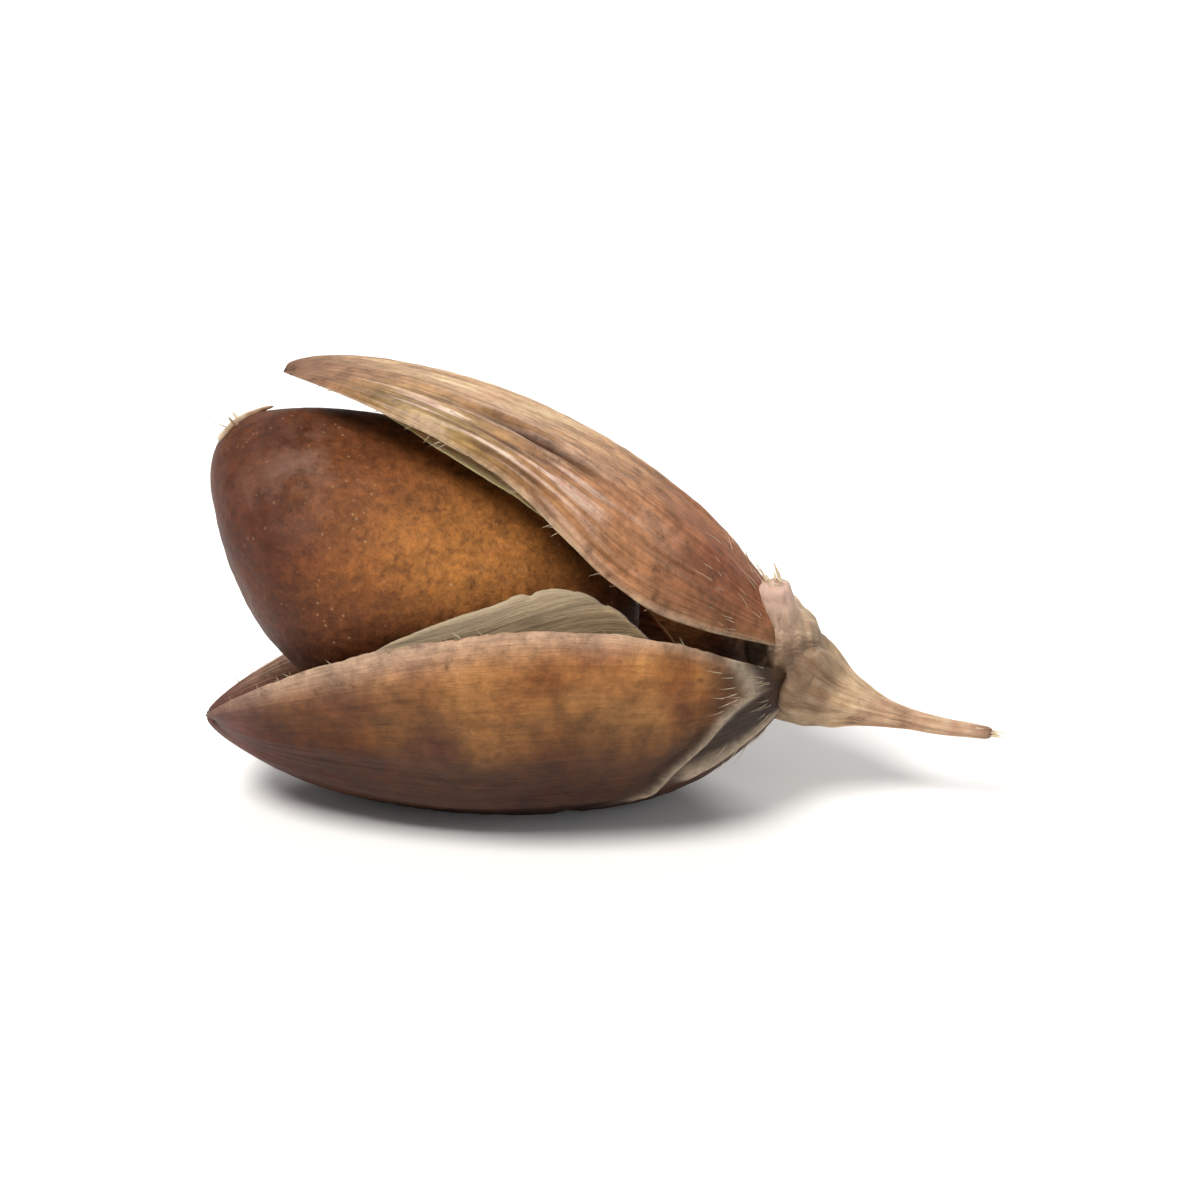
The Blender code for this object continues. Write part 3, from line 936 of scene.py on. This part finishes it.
# %% The branch stub and its joint
STUB_END = Vector((-2.28, 0.10, -0.90)) * MM
STUB_BEND = Vector((-0.95, 0.0, -0.78)) * MM
STUB_TOP = Vector((-0.02, 0.0, -0.20)) * MM
STUB_END_RADIUS, JOINT_RADIUS, JOINT_START = 0.065 * MM, 0.52 * MM, 0.34
SPUR_FOOT = Vector((-0.16, 0.14, -0.10)) * MM
SPUR_END = Vector((0.02, 0.42, 0.72)) * MM
SPUR_RADIUS = 0.19 * MM


def round_end(q, share):
    """0 at q = 0 and 1 from q = share on, as a quarter round."""
    return math.sqrt(1.0 - (1.0 - min(1.0, q / share)) ** 2)


def stub_line(q):
    first = STUB_END.lerp(STUB_BEND, q)
    second = STUB_BEND.lerp(STUB_TOP, q)
    return first.lerp(second, q), (second - first).normalized()


def stub_radius(q):
    swell = max(0.0, (q - JOINT_START) / (1.0 - JOINT_START))
    swelling = (JOINT_RADIUS - STUB_END_RADIUS) * swell**1.4
    taper = 1.6 * STUB_END_RADIUS * q
    return (STUB_END_RADIUS + taper + swelling) * round_end(q, 0.03) * round_end(1.0 - q, 0.16)


def spur_line(q):
    return SPUR_FOOT.lerp(SPUR_END, q), (SPUR_END - SPUR_FOOT).normalized()


def spur_radius(q):
    return SPUR_RADIUS * (1.3 - 0.45 * q) * round_end(q, 0.1) * round_end(1.0 - q, 0.12)


CALLUS_FRONT = Vector((0.30, 0.02, 0.03)) * MM
CALLUS_REAR = Vector((-0.50, 0.06, 0.05)) * MM
CALLUS_RADIUS = 0.44 * MM


def callus_line(q):
    return CALLUS_FRONT.lerp(CALLUS_REAR, q), (CALLUS_REAR - CALLUS_FRONT).normalized()


def callus_radius(q):
    return CALLUS_RADIUS * arch(q, 0.45)


JOINT_MIDDLE = Vector((-0.12, 0.28, -0.22)) * MM
STUB_PAINTS = {
    "joint": lambda place: 0.9 * bell((place - JOINT_MIDDLE).length, 0.0, 0.66 * MM),
    "thin_end": lambda place: 0.7 * bell((place - STUB_END).length, 0.0, 0.90 * MM),
    "broken_end": lambda place: 0.7 * bell((place - STUB_END).length, 0.0, 0.20 * MM),
    "knob": lambda place: 0.9 * bell((place - SPUR_END).length, 0.0, 0.45 * MM),
}


def tube_piece(name, line, radius, sides, rings, ribs, rib_height, roughness, seed, node=None):
    bm = bmesh.new()
    add_tube(bm, line, radius, sides, rings, ribs, rib_height, roughness, seed)
    return finish_piece(name, bm, straw, node)


SLIVER = 0.0014 * MM
GROOVE_ANGLE = math.radians(-24.0)
SEAM_ROWS, SEAM_ROUNDS = 4, 26


def soften_seams(mesh):
    """Merges slivers, and rounds sharp grooves with a few rows of points on both sides."""
    bm = bmesh.new()
    bm.from_mesh(mesh)
    bmesh.ops.remove_doubles(bm, verts=bm.verts[:], dist=0.2 * SLIVER)
    bmesh.ops.triangulate(bm, faces=bm.faces[:])
    bmesh.ops.dissolve_degenerate(bm, dist=SLIVER, edges=bm.edges[:])
    bmesh.ops.triangulate(bm, faces=bm.faces[:])
    groove = set()
    for edge in bm.edges:
        if edge.is_manifold and edge.calc_face_angle_signed() < GROOVE_ANGLE:
            groove.update(edge.verts)
    for _ in range(SEAM_ROWS):
        groove |= {other for vert in groove for edge in vert.link_edges for other in edge.verts}
    seam = [vert for vert in bm.verts if vert in groove]
    print("points smoothed at the seams:", len(seam))
    for _ in range(SEAM_ROUNDS):
        bmesh.ops.smooth_vert(
            bm, verts=seam, factor=0.5, use_axis_x=True, use_axis_y=True, use_axis_z=True
        )
    print("open edges of the joined skin:", sum(not edge.is_manifold for edge in bm.edges))
    bm.to_mesh(mesh)
    bm.free()
    mesh.shade_smooth()


def add_stub():
    stub = tube_piece(
        "branch_stub_body", stub_line, stub_radius, 110, 170, 6, 0.07, 0.22, 3.0, "branch_stub"
    )
    spur = tube_piece("spur_body", spur_line, spur_radius, 72, 70, 5, 0.03, 0.12, 7.0)
    callus = tube_piece("callus_body", callus_line, callus_radius, 96, 80, 8, 0.03, 0.24, 13.0)
    for part in (spur, callus):
        join = stub.modifiers.new("join", "BOOLEAN")
        join.operation = "UNION"
        join.object = part
    bpy.context.view_layer.update()
    seen = stub.evaluated_get(bpy.context.evaluated_depsgraph_get())
    joined = bpy.data.meshes.new_from_object(seen)
    soften_seams(joined)
    stub.modifiers.clear()
    stub.data = joined
    bpy.data.objects.remove(spur, do_unlink=True)
    bpy.data.objects.remove(callus, do_unlink=True)
    back = lie.inverted()
    for name, rule in STUB_PAINTS.items():
        layer = joined.attributes.new(name, "FLOAT", "POINT")
        layer.data.foreach_set("value", [rule(back @ vert.co) for vert in joined.vertices])
    return stub


branch_stub = add_stub()
print("the joined stub has", len(branch_stub.data.polygons), "faces")

# %% [markdown]
# What is left is too thin for a solid: the whiskers that are the remains of the grain's
# styles, splinters at the two broken ends, and the short pale hairs round the joint and along
# the rims. Each is a strand, a thin tube that bends and comes to a point. Strands of one kind
# are one piece, and a seeded draw spreads them.

# %% Strands
chance = random.Random(7)


def hair_finish(name, dull, bright):
    hair = Finish(name, 0.5, scatter=0.2)
    hair.colour(hair.ramp(hair.cloud(hair.place(), 2500.0, 3.0), (0.35, dull), (0.65, bright)))
    return hair.material


def add_strand(bm, root, along, length, radius, bend, sides=3, rings=6):
    """One strand from root along this direction, bent by this much at its tip."""
    along = along.normalized()

    def line(q):
        centre = root + along * length * q + bend * q * q
        return centre, (along * length + bend * 2.0 * q).normalized()

    def thin(q):
        return radius * (1.0 - 0.9 * q) * min(1.0, 12.0 * q, 12.0 * (1.0 - q))

    add_tube(bm, line, thin, sides, rings)


def scattered(amount):
    """A random vector up to this long each way."""
    return Vector([chance.uniform(-amount, amount) for _ in range(3)])


pale_hair = hair_finish("pale_hair", screen(176, 150, 116), screen(218, 198, 164))
dry_hair = hair_finish("dry_hair", screen(150, 124, 98), screen(206, 186, 158))
print("strands ready")

# %% Whiskers at the grain's tip
STYLE_RADIUS, SKIN_STYLE_RADIUS, FEATHER_RADIUS = 0.055 * MM, 0.05 * MM, 0.008 * MM
STYLE_LENGTH, FEATHER_LENGTH = 0.52 * MM, 0.24 * MM
FEATHERS = 4


def along_skin(q):
    """A line that lies on the grain's skin and climbs round its upper corner."""

    def place(share):
        angle = math.radians(28.0 + 24.0 * share)
        outward = Vector((math.cos(angle), 0.10 - 0.16 * share**2, math.sin(angle))).normalized()
        return grain_point(outward) + outward * 0.03 * share**2 * MM

    return place(q), (place(q + 0.02) - place(q - 0.02)).normalized()


def skin_style_radius(q):
    return SKIN_STYLE_RADIUS * (1.0 - 0.6 * q) * arch(q, 0.25)


def add_whiskers():
    bm = bmesh.new()
    for side in (-1.0, 1.0):
        foot = Vector((STYLE_FOOT[0], 0.5 * STYLE_SPREAD * side, STYLE_FOOT[1]))
        outwards = Vector((1.0, 0.3 * side, 0.05))
        bend = Vector((-0.14, 0.08 * side, 0.12)) * MM
        root = foot - outwards * 0.1 * MM
        add_strand(bm, root, outwards, STYLE_LENGTH, STYLE_RADIUS, bend, 10, 24)
        for _ in range(FEATHERS):
            start = foot + outwards * chance.uniform(0.0, 0.3) * MM
            along = outwards + scattered(0.5)
            bend = scattered(0.05 * MM)
            add_strand(bm, start, along, FEATHER_LENGTH, FEATHER_RADIUS, bend)
    add_tube(bm, along_skin, skin_style_radius, 12, 40, 3, 0.12, 0.4, 17.0)
    bmesh.ops.transform(bm, matrix=grain_place, verts=bm.verts[:])
    finish_piece("style_whiskers", bm, dry_hair)


add_whiskers()

# %% Splinters at the broken ends
STUB_SPLINTERS, STUB_SPLINTER_RADIUS = 14, 0.018 * MM
SPUR_SPLINTERS, SPUR_SPLINTER_RADIUS = 16, 0.022 * MM


def add_splinters():
    bm = bmesh.new()
    for _ in range(STUB_SPLINTERS):
        centre, inwards = stub_line(0.06)
        root = centre + scattered(0.045 * MM)
        along = -inwards + scattered(0.12)
        length = chance.uniform(0.12, 0.34) * MM
        bend = scattered(0.03 * MM)
        add_strand(bm, root, along, length, STUB_SPLINTER_RADIUS, bend, 4, 7)
    for _ in range(SPUR_SPLINTERS):
        centre, upwards = spur_line(0.92)
        root = centre + scattered(0.09 * MM)
        along = upwards + scattered(0.35)
        length = chance.uniform(0.08, 0.20) * MM
        bend = scattered(0.02 * MM)
        add_strand(bm, root, along, length, SPUR_SPLINTER_RADIUS, bend, 4, 7)
    finish_piece("splinters", bm, pale_hair)


add_splinters()

# %% Hairs round the joint and on the glumes
JOINT_HAIRS, JOINT_HAIR_RADIUS = 100, 0.0055 * MM
RIM_HAIRS, RIM_HAIR_RADIUS = 70, 0.006 * MM


def add_hairs():
    bm = bmesh.new()
    for boat, stretch in ((lower_boat, 0.05), (upper_boat, 0.10)):
        for _ in range(JOINT_HAIRS):
            s = 0.02 + stretch * chance.random() ** 1.5
            t = chance.uniform(-1.0, 1.0)
            root = into_joint(boat.point(s, t, 0.0), s)
            ahead = boat.point(s + 0.05, t, 0.0) - boat.point(s, t, 0.0)
            outward = (boat.point(s, t, 0.0) - boat.point(s, t, 0.1 * MM)).normalized()
            along = ahead.normalized() + outward * chance.uniform(0.15, 0.6) + scattered(0.25)
            length = chance.uniform(0.12, 0.42) * MM
            add_strand(bm, root, along, length, JOINT_HAIR_RADIUS, outward * -0.20 * length)
        for _ in range(RIM_HAIRS):
            s = chance.uniform(0.08, 0.97)
            side = chance.choice((-1.0, 1.0))
            root = boat.point(s, side * chance.uniform(0.93, 0.99), 0.03 * MM)
            rim = boat.point(s, side, 0.0)
            ahead = (boat.point(min(1.0, s + 0.05), side, 0.0) - rim).normalized()
            rim_out = (rim - boat.point(s, 0.9 * side, 0.0)).normalized()
            along = rim_out + ahead * chance.uniform(0.5, 1.6) + scattered(0.3)
            length = chance.uniform(0.06, 0.16) * MM
            add_strand(bm, root, along, length, RIM_HAIR_RADIUS, scattered(0.02 * MM))
    finish_piece("pale_hairs", bm, pale_hair)


add_hairs()

# %% [markdown]
# The solid parts are done.
